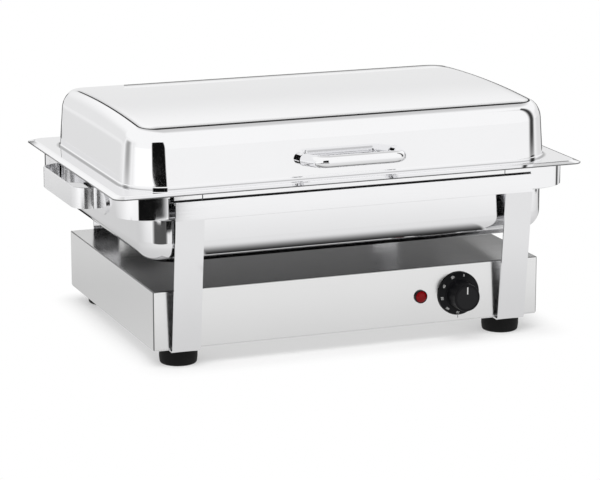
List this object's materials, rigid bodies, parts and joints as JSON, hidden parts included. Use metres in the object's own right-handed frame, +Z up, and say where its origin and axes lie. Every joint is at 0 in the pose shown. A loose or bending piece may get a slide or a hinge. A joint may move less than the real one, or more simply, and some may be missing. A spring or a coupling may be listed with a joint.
{
  "type": "electric chafing dish",
  "caption": "Free-standing electric chafing dish: heated base box on rubber feet, strip frames, deep water pan, food pan, hinged polished lid, thermostat knob and signal lamp.",
  "frame": {"origin": "on the floor under the feet, midway between the left and right handles and midway between the lid handle's bar and the end of the cable gland", "axes": "+X to the right as seen from the knob side, +Y to the rear (the knob faces -Y), +Z up"},
  "size_m": [0.64, 0.42, 0.2951],
  "materials": {
    "polished_steel": "mirror-polished stainless steel",
    "satin_steel": "fine satin stainless steel sheet",
    "frame_steel": "bright, lightly brushed stainless strip",
    "pressed_steel": "bright pressed stainless steel",
    "fastener_steel": "plain stainless steel",
    "heater_alloy": "mill-finish aluminium",
    "heater_sheath": "heat-darkened steel sheath",
    "black_rubber": "matt black rubber",
    "black_plastic": "fine-grained black thermoset",
    "lamp_red": "clear red moulding",
    "lamp_glass": "small neon tube",
    "pointer_white": "white inlay",
    "terminal_white": "off-white moulding",
    "brass": "plain brass",
    "fibre_wool": "loose mineral fibre mat",
    "lead_sleeve": "silicone lead sleeve"
  },
  "bodies": {
    "base": {"base_shell": "satin_steel", "bottom_cover": "satin_steel", "cover_screws": "fastener_steel", "front_frame": "frame_steel", "rear_frame": "frame_steel", "rubber_feet": "black_rubber", "foot_screws": "fastener_steel", "foot_nuts": "fastener_steel", "heat_spreader": "heater_alloy", "heating_element": "heater_sheath", "element_clamps": "fastener_steel", "clamp_screws": "fastener_steel", "heat_shield": "heater_alloy", "insulation": "fibre_wool", "thermostat_body": "black_plastic", "thermostat_nut": "brass", "thermostat_bulb": "brass", "bulb_clips": "fastener_steel", "lamp_housing": "black_plastic", "lamp_lens": "lamp_red", "lamp_bulb": "lamp_glass", "lamp_nut": "black_plastic", "terminal_block": "terminal_white", "terminal_screws": "brass", "earth_stud": "brass", "earth_nut": "brass", "wiring": "lead_sleeve", "cable_gland": "black_plastic", "gland_cap": "black_plastic", "gland_seal": "black_rubber", "gland_locknut": "black_plastic"},
    "knob": {"thermostat_shaft": "fastener_steel", "knob_body": "black_plastic", "knob_pointer": "pointer_white"},
    "water_bath": {"water_pan": "polished_steel", "pan_rim": "polished_steel", "left_handle": "polished_steel", "right_handle": "polished_steel", "hinge_brackets": "fastener_steel", "bracket_rivets": "fastener_steel", "hinge_pins": "fastener_steel"},
    "food_tray": {"food_pan": "pressed_steel"},
    "lid": {"lid_shell": "polished_steel", "lid_handle": "polished_steel", "handle_spacers": "polished_steel", "handle_screws": "fastener_steel", "hinge_leaves": "fastener_steel", "leaf_rivets": "fastener_steel"}
  },
  "joints": [
    {"name": "knob_turn", "type": "hinge", "parent": "base", "child": "knob", "pos_m": [0.1455, -0.16597, 0.0585], "axis": [0, 1, 0], "range_deg": [0, 270]},
    {"name": "pan_lift", "type": "slide", "parent": "base", "child": "water_bath", "axis": [0, 0, 1], "range_m": [0, 0.1]},
    {"name": "food_lift", "type": "slide", "parent": "water_bath", "child": "food_tray", "axis": [0, 0, 1], "range_m": [0, 0.04]},
    {"name": "lid_hinge", "type": "hinge", "parent": "water_bath", "child": "lid", "pos_m": [0, 0.19203, 0.227], "axis": [-1, 0, 0], "range_deg": [0, 95]}
  ]
}
